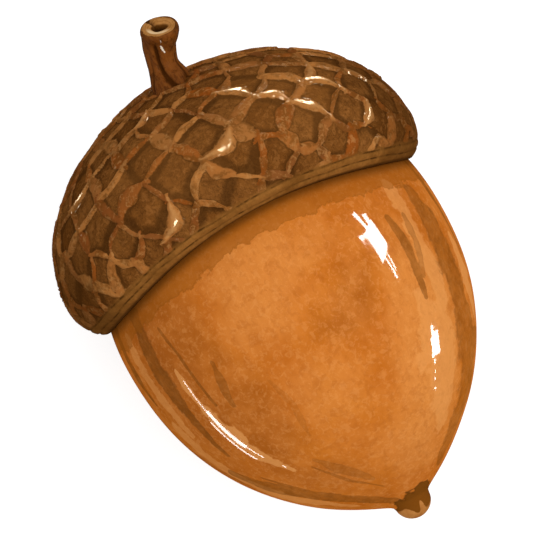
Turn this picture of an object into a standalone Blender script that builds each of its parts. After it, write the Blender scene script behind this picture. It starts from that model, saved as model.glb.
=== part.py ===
"""An oak acorn lying on its side: a squat nut seated in a scaly cup that ends in a short bent stalk.

Each piece is modelled upright in the acorn's own frame, whose +Z is the growth axis towards the stalk, with
the cup's rim near z = 0, the nut's tip at the bottom, and +X the side that faces up once the acorn lies down.
An empty then lays the whole acorn on its side, with the tip towards world +X, and a shallow slice at world
z = 0 leaves the two small flat spots, one on the cup and one on the nut, that it rests on.
"""

import math

import bmesh
import bpy
import numpy as np
from mathutils import Vector

MM = 0.001
GAP = 0.3 * MM  # between pieces that touch

# Nut
NUT_RADIUS = 12.03 * MM
NUT_BELT_Z = -3.1 * MM  # height of the nut's widest ring
NUT_BACK = 13.6 * MM  # from that ring to the nut's blunt end, inside the cup
NUT_FRONT = 16.95 * MM  # from that ring to where the shoulders close
NUT_FRONT_BULGE = 2.3  # superellipse exponents of the shoulders, along the axis and across it
NUT_FRONT_FLARE = 1.4
TIP_RADIUS = 1.32 * MM
TIP_LENGTH = 1.25 * MM  # from where the shoulders close to the end of the point
TIP_BLEND = 3.0  # how tightly the point turns into the shoulders

# Cup
CUP_RADIUS = 13.5 * MM
CUP_BELT_Z = 2.85 * MM  # height of the cup's widest ring
CUP_DOME = 10.35 * MM  # from that ring to the cup's crown
CUP_DOME_BULGE = 1.95
LIP_INSET = 2.0 * MM  # how far the lip turns in below the widest ring
RIM_RISE_TOP = 2.6 * MM  # the rim stands this much higher at +X than at its sides
RIM_RISE_UNDER = 0.9 * MM  # and this much at -X

# Stalk: places along its middle line, and its radius there
STALK_ROUTE = (
    ((3.15, 0.42, 11.2), 1.50),
    ((3.25, 0.42, 12.8), 1.36),
    ((3.45, 0.55, 14.1), 1.07),
    ((3.85, 0.95, 15.3), 1.08),
    ((4.60, 1.50, 16.4), 1.30),
)
PITH_RADIUS = 0.42 * MM
PITH_DEPTH = 0.8 * MM

REST_DEPTH = 0.2 * MM  # how much the flat spots take off the round sides

TURN_STEPS = 48
BROWN_NUT = (0.600, 0.190, 0.028, 1.0)
BROWN_CUP = (0.145, 0.052, 0.015, 1.0)
BROWN_STALK = (0.240, 0.095, 0.028, 1.0)


def clear_scene():
    for old in list(bpy.data.objects):
        bpy.data.objects.remove(old, do_unlink=True)


def new_collection(name):
    collection = bpy.data.collections.new(name)
    bpy.context.scene.collection.children.link(collection)
    return collection


def new_material(name, colour, roughness):
    material = bpy.data.materials.new(name)
    material.use_nodes = True
    shader = material.node_tree.nodes["Principled BSDF"]
    shader.inputs["Base Color"].default_value = colour
    shader.inputs["Roughness"].default_value = roughness
    shader.inputs["Metallic"].default_value = 0.0
    return material


def add_object(name, data, collection, parent):
    piece = bpy.data.objects.new(name, data)
    collection.objects.link(piece)
    piece.parent = parent
    return piece


def make_guide(cutter):
    """A cutter only shapes other pieces."""
    cutter.hide_render = True
    cutter.display_type = "WIRE"
    return cutter


def quarter(radius, length, bulge, flare, steps):
    """Rows of (distance from the axis, distance along it) over a quarter superellipse, widest ring first."""
    rows = []
    for i in range(steps + 1):
        turn = math.pi / 2 * i / steps
        across = radius * math.cos(turn) ** (2 / flare) if i < steps else 0.0
        rows.append((across, length * math.sin(turn) ** (2 / bulge)))
    return rows


def nut_profile(grow=0.0):
    """The nut's outline from its blunt end down to its point, moved out by grow."""
    back = quarter(NUT_RADIUS + grow, NUT_BACK + grow, 2.0, 2.0, 11)
    front = quarter(NUT_RADIUS + grow, NUT_FRONT, NUT_FRONT_BULGE, NUT_FRONT_FLARE, 16)
    tip = quarter(TIP_RADIUS + grow, TIP_LENGTH + grow, 2.0, 2.0, 5)
    outline = [(r, NUT_BELT_Z + z) for r, z in reversed(back)]
    for r, z in front[1:]:
        blended = (r**TIP_BLEND + (TIP_RADIUS + grow) ** TIP_BLEND) ** (1 / TIP_BLEND)
        outline.append((blended, NUT_BELT_Z - z))
    outline += [(r, NUT_BELT_Z - NUT_FRONT - z) for r, z in tip[1:]]
    return outline


def cup_profile(grow=0.0):
    """The cup's outline from its crown, over the dome and round the lip, then straight in to the axis."""
    dome = quarter(CUP_RADIUS + grow, CUP_DOME + grow, CUP_DOME_BULGE, CUP_DOME_BULGE, 13)
    lip = quarter(LIP_INSET, CUP_BELT_Z + grow, 2.0, 2.0, 6)
    outline = [(r, CUP_BELT_Z + z) for r, z in reversed(dome)]
    inset = CUP_RADIUS + grow - LIP_INSET
    outline += [(inset + r, CUP_BELT_Z - z) for r, z in lip[1:]]
    outline.append((0.0, -grow))
    return outline


def turned(name, outline, collection, parent):
    """A solid of revolution round the growth axis."""
    mesh = bpy.data.meshes.new(name)
    points = [(r, 0.0, z) for r, z in outline]
    edges = [(i, i + 1) for i in range(len(points) - 1)]
    mesh.from_pydata(points, edges, [])
    piece = add_object(name, mesh, collection, parent)
    screw = piece.modifiers.new("turn", "SCREW")
    screw.axis = "Z"
    screw.angle = 2 * math.pi
    screw.steps = TURN_STEPS
    screw.render_steps = TURN_STEPS
    screw.use_merge_vertices = True
    screw.merge_threshold = 0.00001
    screw.use_smooth_shade = True
    return piece


def made_solid(piece):
    """Swaps an object's data for the mesh that its curve or modifiers make, with nothing loose."""
    bpy.context.view_layer.update()
    evaluated = piece.evaluated_get(bpy.context.evaluated_depsgraph_get())
    mesh = bpy.data.meshes.new_from_object(evaluated)
    shape = bmesh.new()
    shape.from_mesh(mesh)
    bmesh.ops.remove_doubles(shape, verts=shape.verts, dist=0.00001)
    bmesh.ops.recalc_face_normals(shape, faces=shape.faces)
    shape.to_mesh(mesh)
    shape.free()
    mesh.name = piece.name
    solid = bpy.data.objects.new(piece.name + "_solid", mesh)
    for collection in piece.users_collection:
        collection.objects.link(solid)
    solid.parent = piece.parent
    solid.matrix_world = piece.matrix_world
    name = piece.name
    bpy.data.objects.remove(piece, do_unlink=True)
    solid.name = name
    return solid


def cut(piece, name, cutter):
    boolean = piece.modifiers.new(name, "BOOLEAN")
    boolean.operation = "DIFFERENCE"
    boolean.object = cutter


def rim_rise(x, y):
    """How far the rim stands above z = 0 in the direction (x, y) from the axis."""
    reach = math.hypot(x, y)
    across = x / reach if reach > 0 else 0.0
    return (RIM_RISE_TOP if x > 0 else RIM_RISE_UNDER) * across**2


def lift_rim(cup):
    """Moves the lip up or down with the uneven rim, fading out over the dome towards the crown."""
    crown_z = CUP_BELT_Z + CUP_DOME
    for vertex in cup.data.vertices:
        down = min(max((crown_z - vertex.co.z) / (crown_z - CUP_BELT_Z), 0.0), 1.0)
        share = down * down * (3 - 2 * down)
        vertex.co.z += share * rim_rise(vertex.co.x, vertex.co.y)


def make_nut(parts, axis):
    nut = made_solid(turned("nut", nut_profile(), parts, axis))
    nut.data.materials.append(new_material("nut_shell", BROWN_NUT, 0.3))
    return nut


def make_cup(name, grow, collection, axis):
    """The cup's outer shape, filled in, moved out by grow."""
    cup = made_solid(turned(name, cup_profile(grow), collection, axis))
    lift_rim(cup)
    return cup


def make_cap(parts, cutters, axis):
    cap = make_cup("cap", 0.0, parts, axis)
    seat = make_guide(made_solid(turned("nut_seat", nut_profile(GAP), cutters, axis)))
    cut(cap, "seat", seat)
    cap.data.materials.append(new_material("cup_scales", BROWN_CUP, 0.6))
    return cap


def make_stalk(parts, cutters, axis):
    """A bent tube with a flared cut end, seated on the cup's crown, with the hollow of its pith."""
    curve = bpy.data.curves.new("stalk", "CURVE")
    curve.dimensions = "3D"
    curve.bevel_depth = MM
    curve.bevel_resolution = 4
    curve.resolution_u = 5
    curve.use_fill_caps = True
    spline = curve.splines.new("BEZIER")
    spline.bezier_points.add(len(STALK_ROUTE) - 1)
    for point, (place, radius) in zip(spline.bezier_points, STALK_ROUTE):
        point.co = Vector(place) * MM
        point.radius = radius
        point.handle_left_type = "AUTO"
        point.handle_right_type = "AUTO"
    stalk = made_solid(add_object("stalk", curve, parts, axis))
    stalk.data.shade_smooth()
    stalk.data.set_sharp_from_angle(angle=math.radians(50))

    cut(stalk, "seat", make_guide(make_cup("crown_seat", GAP, cutters, axis)))
    cut(stalk, "pith", make_pith(cutters, axis))
    stalk.data.materials.append(new_material("stalk_bark", BROWN_STALK, 0.55))
    return stalk


def make_pith(cutters, axis):
    """A pin that drills the pith hollow straight into the stalk's cut end."""
    end = Vector(STALK_ROUTE[-1][0]) * MM
    outward = (end - Vector(STALK_ROUTE[-2][0]) * MM).normalized()
    bpy.ops.mesh.primitive_cylinder_add(vertices=14, radius=PITH_RADIUS, depth=2 * PITH_DEPTH)
    pith = bpy.context.object
    pith.name = "pith_drill"
    for collection in list(pith.users_collection):
        collection.objects.unlink(pith)
    cutters.objects.link(pith)
    pith.parent = axis
    pith.location = end
    pith.rotation_mode = "QUATERNION"
    pith.rotation_quaternion = outward.to_track_quat("Z", "Y")
    return make_guide(pith)


def lowest(points, lean):
    """How far below the growth axis's origin the points reach, once the axis leans by this much."""
    return float(np.max(-points[:, 0] * math.cos(lean) - points[:, 2] * math.sin(lean)))


def resting_lean(nut, cap):
    """The lean, in radians, at which the nut's side and the cup's side touch the ground together."""
    nut_points = np.array([v.co for v in nut.data.vertices])
    cap_points = np.array([v.co for v in cap.data.vertices])
    low, high = 0.0, math.radians(30)
    for _ in range(40):
        lean = (low + high) / 2
        if lowest(cap_points, lean) > lowest(nut_points, lean):
            low = lean
        else:
            high = lean
    return lean, lowest(nut_points, lean)


def lay_down(axis, nut, cap, stalk, cutters):
    """Lays the acorn on its side over the origin, and slices its two resting spots flat."""
    lean, drop = resting_lean(nut, cap)
    axis.rotation_euler = (0.0, -(math.pi / 2 - lean), 0.0)
    axis.location.z = drop - REST_DEPTH
    bpy.context.view_layer.update()
    reach = [(piece.matrix_world @ v.co).x for piece in (nut, cap, stalk) for v in piece.data.vertices]
    axis.location.x -= (min(reach) + max(reach)) / 2

    bpy.ops.mesh.primitive_cube_add(size=80 * MM, location=(0.0, 0.0, -40 * MM))
    ground = bpy.context.object
    ground.name = "ground_slice"
    for collection in list(ground.users_collection):
        collection.objects.unlink(ground)
    cutters.objects.link(ground)
    make_guide(ground)
    cut(nut, "rest", ground)
    cut(cap, "rest", ground)


def main():
    clear_scene()
    parts = new_collection("acorn")
    cutters = new_collection("cutters")
    axis = add_object("growth_axis", None, parts, None)
    nut = make_nut(parts, axis)
    cap = make_cap(parts, cutters, axis)
    stalk = make_stalk(parts, cutters, axis)
    lay_down(axis, nut, cap, stalk, cutters)


main()
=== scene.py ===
"""The looks of an oak acorn lying on its side: a glossy nut, a cup netted with ridges and a short bent stalk.

Each piece is made in the acorn's own frame and in millimetres. Its origin is on the growth axis at the height
of the cup's rim, +Z runs along the axis to the stalk, and +X is the side that faces up. Angles go round that
axis from the upper side, so 90 degrees is the side towards world +Y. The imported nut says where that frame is.
"""

import math
import random

import bmesh
import bpy
import numpy as np
from mathutils import Matrix, Vector, noise


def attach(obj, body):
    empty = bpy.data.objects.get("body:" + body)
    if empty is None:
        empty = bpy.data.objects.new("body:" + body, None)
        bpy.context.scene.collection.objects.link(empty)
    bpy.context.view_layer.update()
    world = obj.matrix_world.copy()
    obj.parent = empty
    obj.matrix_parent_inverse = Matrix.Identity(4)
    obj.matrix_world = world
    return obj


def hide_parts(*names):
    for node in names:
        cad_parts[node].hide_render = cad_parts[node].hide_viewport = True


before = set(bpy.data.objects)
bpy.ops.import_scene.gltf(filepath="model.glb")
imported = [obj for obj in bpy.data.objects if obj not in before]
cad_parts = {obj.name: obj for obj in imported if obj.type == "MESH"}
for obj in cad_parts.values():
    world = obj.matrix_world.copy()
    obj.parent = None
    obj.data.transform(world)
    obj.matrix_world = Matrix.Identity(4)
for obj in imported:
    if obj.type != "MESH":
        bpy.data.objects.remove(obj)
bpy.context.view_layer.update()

# The nut, in millimetres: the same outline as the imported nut
NUT_RADIUS = 12.03
NUT_BELT_Z = -3.1
NUT_BACK = 13.6
NUT_FRONT = 16.95
NUT_FRONT_BULGE = 2.3
NUT_FRONT_FLARE = 1.4
TIP_RADIUS = 1.32
TIP_LENGTH = 1.25
TIP_BLEND = 3.0
TIP_LEAN = 0.25  # the point sits this much to the +Y side of the axis
TIP_Z = NUT_BELT_Z - NUT_FRONT - TIP_LENGTH

# The cup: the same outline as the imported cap
CUP_RADIUS = 13.5
CUP_BELT_Z = 2.85
CUP_DOME = 10.35
CUP_DOME_BULGE = 1.95
CUP_CROWN_Z = CUP_BELT_Z + CUP_DOME
LIP_INSET = 2.0
RIM_RISE_TOP = 2.6
RIM_RISE_UNDER = 0.9
SEAM = 0.08  # between the nut and the cup that holds it

# The cup's scales and the net of ridges along their edges
GOLDEN_ANGLE = math.pi * (3 - math.sqrt(5))
SCALE_TURN = 0.4
SCALE_ROOM_RIM = 6.9  # square millimetres for each scale
SCALE_ROOM_CROWN = 4.9
SCALE_SKIRT = 9.0  # the scales' bed runs on this far below the belt
SHORT_BORDER = 1.25
SCALE_SINK = 0.22  # a scale lies this far below the ridges' tops
RIDGE_HALF_WIDTH = 0.29
RIM_BAND = 1.25  # smooth band along the rim

# The stalk: places along its middle line, and its radius there
STALK_ROUTE = (
    ((3.15, 0.42, 11.2), 1.50),
    ((3.25, 0.42, 12.8), 1.36),
    ((3.45, 0.55, 14.1), 1.07),
    ((3.85, 0.95, 15.3), 1.08),
    ((4.60, 1.50, 16.27), 1.30),
)

# Camera and light
VIEW_WIDTH = 36.14  # what the camera takes in at the growth axis
VIEW_ROLL = math.radians(30.2)
VIEW_TILT = math.radians(2.0)  # towards the stalk
VIEW_OFF = (0.407, -1.322)  # the view's middle from the origin, across and up
CAMERA_REACH = 420.0
CLEAR = (1.0, 1.0, 1.0)
CREAM = (1.0, 0.84, 0.58)
SPARK_REACH = 60.0
SPARK_WIDTH = 10.5

NUT_COLUMNS = 480
NUT_ROWS = 200
CUP_COLUMNS = 560
CUP_ROWS = 160
STALK_COLUMNS = 120


# ---------------- the acorn's frame


def vertex_places(piece):
    return np.array([v.co for v in piece.data.vertices])


def farthest(places, start):
    return places[np.argmax(np.linalg.norm(places - start, axis=1))]


def growth_frame():
    """The matrix from the acorn's frame in millimetres to the world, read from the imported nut's two ends."""
    places = vertex_places(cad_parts["nut"])
    tip = places[np.argmax(places[:, 0])]
    for _ in range(2):
        blunt = farthest(places, tip)
        tip = farthest(places, blunt)
    length = NUT_BACK + NUT_FRONT + TIP_LENGTH
    unit = np.linalg.norm(blunt - tip) / length
    along = Vector(blunt - tip).normalized()
    side = Vector((0.0, 1.0, 0.0))
    up = side.cross(along).normalized()
    origin = Vector(tip) - along * TIP_Z * unit
    turn = Matrix((up, side, along)).transposed().to_4x4()
    return Matrix.Translation(origin) @ turn @ Matrix.Scale(unit, 4)


AXES = growth_frame()
UNIT = AXES.to_scale()[0]


def to_world(places):
    matrix = np.array(AXES)
    return places @ matrix[:3, :3].T + matrix[:3, 3]


# ---------------- outlines and meshes


def smooth(value, low=0.0, high=1.0):
    share = np.clip((value - low) / (high - low), 0.0, 1.0)
    return share * share * (3 - 2 * share)


def bell(value, width):
    return np.exp(-((value / width) ** 2))


def turn_from(angle, middle):
    """The signed turn from a middle to each angle, the short way round."""
    return (angle - middle + math.pi) % (2 * math.pi) - math.pi


def quarter(radius, length, bulge=2.0, flare=2.0):
    """A quarter superellipse as distances from the axis and along it, widest ring first."""
    turn = np.linspace(0.0, math.pi / 2, 500)
    return radius * np.cos(turn) ** (2 / flare), length * np.sin(turn) ** (2 / bulge)


def arc_length(r, z):
    return np.concatenate(([0.0], np.cumsum(np.hypot(np.diff(r), np.diff(z)))))


def even_steps(r, z, count):
    """The same outline in equal steps, without its two ends."""
    arc = arc_length(r, z)
    stops = np.linspace(0.0, arc[-1], count + 2)[1:-1]
    return np.interp(stops, arc, r), np.interp(stops, arc, z)


def nut_outline():
    """From the blunt end down to the point."""
    back_r, back_z = quarter(NUT_RADIUS, NUT_BACK)
    front_r, front_z = quarter(NUT_RADIUS, NUT_FRONT, NUT_FRONT_BULGE, NUT_FRONT_FLARE)
    front_r = (front_r**TIP_BLEND + TIP_RADIUS**TIP_BLEND) ** (1 / TIP_BLEND)
    tip_r, tip_z = quarter(TIP_RADIUS, TIP_LENGTH)
    r = np.concatenate((back_r[::-1], front_r[1:], tip_r[1:]))
    heights = (NUT_BELT_Z + back_z[::-1], NUT_BELT_Z - front_z[1:], NUT_BELT_Z - NUT_FRONT - tip_z[1:])
    return r, np.concatenate(heights)


def dome_outline():
    """The cup's outside from its widest ring up to the crown."""
    r, z = quarter(CUP_RADIUS, CUP_DOME, CUP_DOME_BULGE, CUP_DOME_BULGE)
    return r[::-1], CUP_BELT_Z + z[::-1]


def nut_radius(z):
    r, heights = nut_outline()
    return np.interp(-np.asarray(z), -heights, r)


def skin_place(outline, angle, height):
    """A place on an outline's skin, at an angle in degrees, and the direction out of the skin there."""
    r, z = outline
    below, radius, above = np.interp((0.05 - height, -height, -0.05 - height), -z, r)
    turn = math.radians(angle)
    place = Vector((radius * math.cos(turn), radius * math.sin(turn), height))
    return place, Vector((math.cos(turn), math.sin(turn), (below - above) / 0.1)).normalized()


def round_axis(columns):
    """Angles round the axis, starting and ending on the underside."""
    return np.linspace(-math.pi, math.pi, columns, endpoint=False)


def rings(r, z, angle):
    """Rows of points round the axis, one row for each distance and height."""
    r = np.broadcast_to(np.reshape(r, (len(r), -1)), (len(r), len(angle)))
    z = np.broadcast_to(np.reshape(z, (len(z), -1)), (len(z), len(angle)))
    return np.stack((r * np.cos(angle), r * np.sin(angle), z), axis=-1)


def ripple(places, size, seed):
    """Smooth noise from -1 to 1 at each place, with bumps about size wide."""
    shift = Vector((seed * 7.3, seed * 3.1, seed * 5.7))
    flat = places.reshape(-1, 3) / size
    return np.array([noise.noise(Vector(p) + shift) for p in flat]).reshape(places.shape[:-1])


def drift(places, size, seed):
    """Smooth noise as a small shift of each place."""
    return np.stack([ripple(places, size, seed + axis) for axis in range(3)], axis=-1)


def put(name, data):
    """A new object with its data, in the scene."""
    made = bpy.data.objects.new(name, data)
    bpy.context.scene.collection.objects.link(made)
    return made


def shell(name, places, ends, marks, material):
    """A closed skin over rows of places from the stalk's side to the tip's, with one point at each end.

    marks are named values on the rows. The material reads them, and each point's place in the acorn's frame.
    """
    rows, columns = places.shape[:2]
    first, last = rows * columns, rows * columns + 1
    ring = np.arange(rows * columns).reshape(rows, columns)
    beside = np.roll(ring, -1, axis=1)
    quads = np.stack((ring[:-1], ring[1:], beside[1:], beside[:-1]), axis=-1).reshape(-1, 4)
    fans = [(first, a, b) for a, b in zip(ring[0], beside[0])]
    fans += [(last, b, a) for a, b in zip(ring[-1], beside[-1])]
    mesh = bpy.data.meshes.new(name)
    places = np.vstack((places.reshape(-1, 3), ends))
    world = to_world(places)
    world[:, 2] = np.maximum(world[:, 2], 0.0)  # pressed flat where it rests on the floor
    mesh.from_pydata(world.tolist(), [], quads.tolist() + [tuple(int(i) for i in fan) for fan in fans])
    kept = mesh.attributes.new("place", "FLOAT_VECTOR", "POINT").data
    kept.foreach_set("vector", places.astype(np.float32).ravel())

    row, column = np.divmod(np.arange((rows - 1) * columns), columns)
    across = np.stack((column, column, column + 1, column + 1), axis=-1) / columns
    down = np.stack((row + 1, row + 2, row + 2, row + 1), axis=-1) / (rows + 1)
    turn = np.arange(columns)
    fan_across = np.stack((turn + 0.5, turn, turn + 1), axis=-1) / columns
    far_across = np.stack((turn + 0.5, turn + 1, turn), axis=-1) / columns
    fan_down = np.tile((0.0, 1.0, 1.0), (columns, 1)) / (rows + 1)
    far_down = np.tile((rows + 1.0, rows, rows), (columns, 1)) / (rows + 1)
    u = np.concatenate((across.ravel(), fan_across.ravel(), far_across.ravel()))
    v = 1 - np.concatenate((down.ravel(), fan_down.ravel(), far_down.ravel()))
    mesh.uv_layers.new(name="OFBake").data.foreach_set("uv", np.stack((u, v), axis=-1).ravel())

    for label, values in marks.items():
        kept = np.concatenate((values.ravel(), (values[0].mean(), values[-1].mean())))
        mesh.attributes.new(label, "FLOAT", "POINT").data.foreach_set("value", kept.astype(np.float32))
    mesh.shade_smooth()
    mesh.materials.append(material)
    return put(name, mesh)


def stand_for(piece, node):
    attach(piece, "root")
    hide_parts(node)


# ---------------- shader parts


def colour(code):
    """A screen colour, as six hex digits, as the linear colour that a shader takes."""
    channels = [int(code[i : i + 2], 16) / 255 for i in (0, 2, 4)]
    return tuple(c / 12.92 if c <= 0.04045 else ((c + 0.055) / 1.055) ** 2.4 for c in channels) + (1.0,)


def plug(tree, made, inputs):
    """Links or sets a node's inputs, by name or number."""
    for name, value in inputs.items():
        if isinstance(value, bpy.types.NodeSocket):
            tree.links.new(value, made.inputs[name])
        else:
            made.inputs[name].default_value = value


def add(tree, kind, inputs=(), **settings):
    """Adds a node, sets what it is told to, and links or sets its inputs."""
    made = tree.nodes.new("ShaderNode" + kind)
    for name, value in settings.items():
        setattr(made, name, value)
    plug(tree, made, dict(inputs))
    return made


def maths(tree, operation, a, b=0.0, c=0.0, clamp=False):
    made = add(tree, "Math", {0: a, 1: b, 2: c}, operation=operation, use_clamp=clamp)
    return made.outputs[0]


def times(tree, a, b):
    return maths(tree, "MULTIPLY", a, b)


def gap(tree, a, b):
    return maths(tree, "ABSOLUTE", maths(tree, "SUBTRACT", a, b))


def between(tree, value, low, high, new_low=0.0, new_high=1.0):
    """Maps low..high smoothly onto new_low..new_high."""
    inputs = {"Value": value, "From Min": low, "From Max": high, "To Min": new_low, "To Max": new_high}
    return add(tree, "MapRange", inputs, interpolation_type="SMOOTHSTEP").outputs["Result"]


def blend(tree, share, first, second):
    inputs = {0: share, 6: first, 7: second}
    return add(tree, "Mix", inputs, data_type="RGBA").outputs[2]


def new_group(name, inputs, outputs):
    """An empty node group. inputs are (name, kind, value), outputs are (name, kind)."""
    tree = bpy.data.node_groups.new(name, "ShaderNodeTree")
    for label, kind, value in inputs:
        socket = tree.interface.new_socket(label, in_out="INPUT", socket_type="NodeSocket" + kind)
        if value is not None:
            socket.default_value = value
    for label, kind in outputs:
        tree.interface.new_socket(label, in_out="OUTPUT", socket_type="NodeSocket" + kind)
    return tree, tree.nodes.new("NodeGroupInput").outputs, tree.nodes.new("NodeGroupOutput").inputs


def mottle_group():
    """Cloudy patches that have run into each other like watercolour. Size is in millimetres."""
    inputs = [("Place", "Vector", None)]
    inputs += [("Size", "Float", 3.0), ("Run", "Float", 0.6), ("Detail", "Float", 5.0)]
    tree, given, result = new_group("mottle", inputs, (("Value", "Float"),))
    scale = maths(tree, "DIVIDE", 1.0, given["Size"])
    shift = add(tree, "TexNoise", {"Vector": given["Place"], "Scale": scale, "Detail": 3.0})
    inputs = {0: shift.outputs["Color"], 1: (0.5, 0.5, 0.5)}
    centred = add(tree, "VectorMath", inputs, operation="SUBTRACT")
    reach = times(tree, given["Run"], given["Size"])
    moved = add(tree, "VectorMath", {0: centred.outputs[0], "Scale": reach}, operation="SCALE")
    place = add(tree, "VectorMath", {0: given["Place"], 1: moved.outputs[0]}, operation="ADD")
    inputs = {"Vector": place.outputs[0], "Scale": scale, "Detail": given["Detail"], "Roughness": 0.6}
    cloud = add(tree, "TexNoise", inputs)
    tree.links.new(between(tree, cloud.outputs["Fac"], 0.32, 0.68), result["Value"])
    return tree


def grain_group():
    """Fine fibres along the growth axis. Size is across the fibre and Stretch how many times longer it is."""
    inputs = (("Place", "Vector", None), ("Size", "Float", 0.3), ("Stretch", "Float", 8.0))
    tree, given, result = new_group("grain", inputs, (("Value", "Float"),))
    parts = add(tree, "SeparateXYZ", {"Vector": given["Place"]}).outputs
    along = maths(tree, "DIVIDE", parts["Z"], given["Stretch"])
    place = add(tree, "CombineXYZ", {"X": parts["X"], "Y": parts["Y"], "Z": along}).outputs[0]
    scale = maths(tree, "DIVIDE", 1.0, given["Size"])
    inputs = {"Vector": place, "Scale": scale, "Detail": 4.0, "Roughness": 0.65}
    fibre = add(tree, "TexNoise", inputs)
    tree.links.new(between(tree, fibre.outputs["Fac"], 0.3, 0.7), result["Value"])
    return tree


def ragged_group():
    """Turns a margin, above 0 inside a shape and below 0 outside, into a mask with a ragged edge."""
    defaults = {"Margin": 0.0, "Noise": 0.5, "Raggedness": 0.3, "Softness": 0.15}
    inputs = [(label, "Float", value) for label, value in defaults.items()]
    tree, given, result = new_group("ragged_edge", inputs, (("Mask", "Float"), ("Outline", "Float")))
    centred = maths(tree, "SUBTRACT", given["Noise"], 0.5)
    margin = maths(tree, "MULTIPLY_ADD", centred, given["Raggedness"], given["Margin"])
    low = times(tree, given["Softness"], -1.0)
    tree.links.new(between(tree, margin, low, given["Softness"]), result["Mask"])
    off = maths(tree, "ABSOLUTE", margin)
    wide = times(tree, given["Softness"], 2.0)
    tree.links.new(between(tree, off, wide, 0.0), result["Outline"])
    return tree


def placed(tree, group, inputs):
    return add(tree, "Group", inputs, node_tree=group).outputs


def new_material(name, roughness_coat, coat_ior):
    """A material with its shader, and the place on the piece in millimetres."""
    material = bpy.data.materials.new(name)
    material.use_nodes = True
    tree = material.node_tree
    shader = tree.nodes["Principled BSDF"]
    shader.inputs["Coat Roughness"].default_value = roughness_coat
    shader.inputs["Coat IOR"].default_value = coat_ior
    shader.inputs["Specular IOR Level"].default_value = 0.0
    place = add(tree, "Attribute", attribute_name="place").outputs["Vector"]
    return material, tree, shader, place


def cloudy(tree, mottle, place, size, run, detail=5.0):
    return placed(tree, mottle, {"Place": place, "Size": size, "Run": run, "Detail": detail})["Value"]


def fibrous(tree, grain, place, size, stretch):
    return placed(tree, grain, {"Place": place, "Size": size, "Stretch": stretch})["Value"]


def torn(tree, ragged, margin, cloud, raggedness, softness=0.15):
    """A ragged-edged shape's outputs, from the margin inside it."""
    inputs = {"Margin": margin, "Noise": cloud, "Raggedness": raggedness, "Softness": softness}
    return placed(tree, ragged, inputs)


def over(tree, under, share, code, amount=1.0):
    """Paints a colour over what is under it, as thickly as share times amount."""
    if amount != 1.0:
        share = maths(tree, "MULTIPLY", share, amount, clamp=True)
    return blend(tree, share, under, colour(code))


def feed(tree, shader, skin, roughness, polish, relief, strength, height):
    """Gives a shader its colour, roughness and coat, and a bump whose height is in metres."""
    bump = add(tree, "Bump", {"Height": relief, "Strength": strength, "Distance": height})
    inputs = {"Base Color": skin, "Roughness": roughness, "Coat Weight": polish, "Normal": bump.outputs[0]}
    plug(tree, shader, inputs)


def mark(tree, name):
    return add(tree, "Attribute", attribute_name=name).outputs["Fac"]


# ---------------- nut

# Strokes down the shell: a strength, then stops from the top down, each an angle in degrees, a height and
# a width
DARK_STROKES = (
    (0.65, (62.5, -1.5, 1.1), (62.5, -4.0, 2.0), (62.8, -7.0, 2.4), (62.0, -9.5, 1.9)),
    (0.55, (61.0, -9.0, 1.7), (66.0, -12.5, 3.6), (66.0, -15.3, 2.6), (54.0, -18.3, 1.0)),
    (0.70, (43.5, -2.2, 0.4), (44.8, -4.4, 0.8), (43.0, -8.2, 0.4)),
    (0.50, (50.8, -2.6, 0.4), (49.8, -4.6, 0.6), (46.0, -6.9, 0.3)),
    (0.70, (76.0, 1.0, 0.5), (77.0, -2.8, 0.7), (79.0, -7.0, 0.4)),
    (0.80, (-55.8, 0.6, 1.2), (-57.0, -3.8, 1.4), (-56.3, -7.4, 0.9), (-57.5, -10.8, 0.3)),
    (0.80, (-73.8, 0.4, 0.8), (-74.6, -3.6, 0.8), (-73.0, -5.6, 0.3)),
    (0.70, (-46.5, -1.0, 0.2), (-43.8, -3.2, 0.25), (-42.4, -7.4, 0.2)),
    (0.55, (-33.5, -4.7, 0.3), (-35.0, -6.3, 0.65), (-36.5, -7.9, 0.3)),
    (0.22, (-20.0, -7.6, 0.2), (-17.8, -9.8, 0.5), (-20.6, -12.2, 0.2)),
    (0.66, (-69.0, -12.2, 1.0), (-62.0, -14.1, 1.7), (-54.0, -15.6, 1.5), (-40.0, -17.8, 1.1),
     (-25.0, -19.3, 0.8)),
    (0.60, (-57.0, -13.2, 0.2), (-46.0, -16.1, 0.25), (-30.0, -18.3, 0.2)),
    (0.35, (-27.0, -13.8, 0.3), (-22.0, -15.2, 0.9), (-13.0, -17.0, 0.4)),
    (0.50, (-31.0, -14.2, 0.15), (-24.0, -16.4, 0.25), (-12.0, -17.9, 0.15)),
    (0.40, (-87.0, -4.5, 0.8), (-83.0, -9.5, 1.2), (-76.0, -13.0, 0.7)),
    (0.50, (98.0, -1.0, 0.9), (101.0, -8.0, 1.4), (104.0, -15.0, 0.9)),
    (0.45, (131.0, 0.4, 1.1), (129.0, -5.0, 1.8), (127.0, -10.0, 0.5)),
    (0.42, (158.0, -3.5, 0.5), (154.0, -10.0, 1.0), (150.0, -17.0, 0.5)),
    (0.50, (-104.0, 0.5, 0.8), (-101.0, -7.0, 1.5), (-99.0, -14.0, 0.7)),
    (0.42, (-133.0, -2.0, 0.5), (-136.0, -10.0, 1.1), (-138.0, -18.0, 0.6)),
    (0.42, (-160.0, 0.4, 1.0), (-158.0, -5.0, 1.6), (-156.0, -9.0, 0.5)),
)
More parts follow.
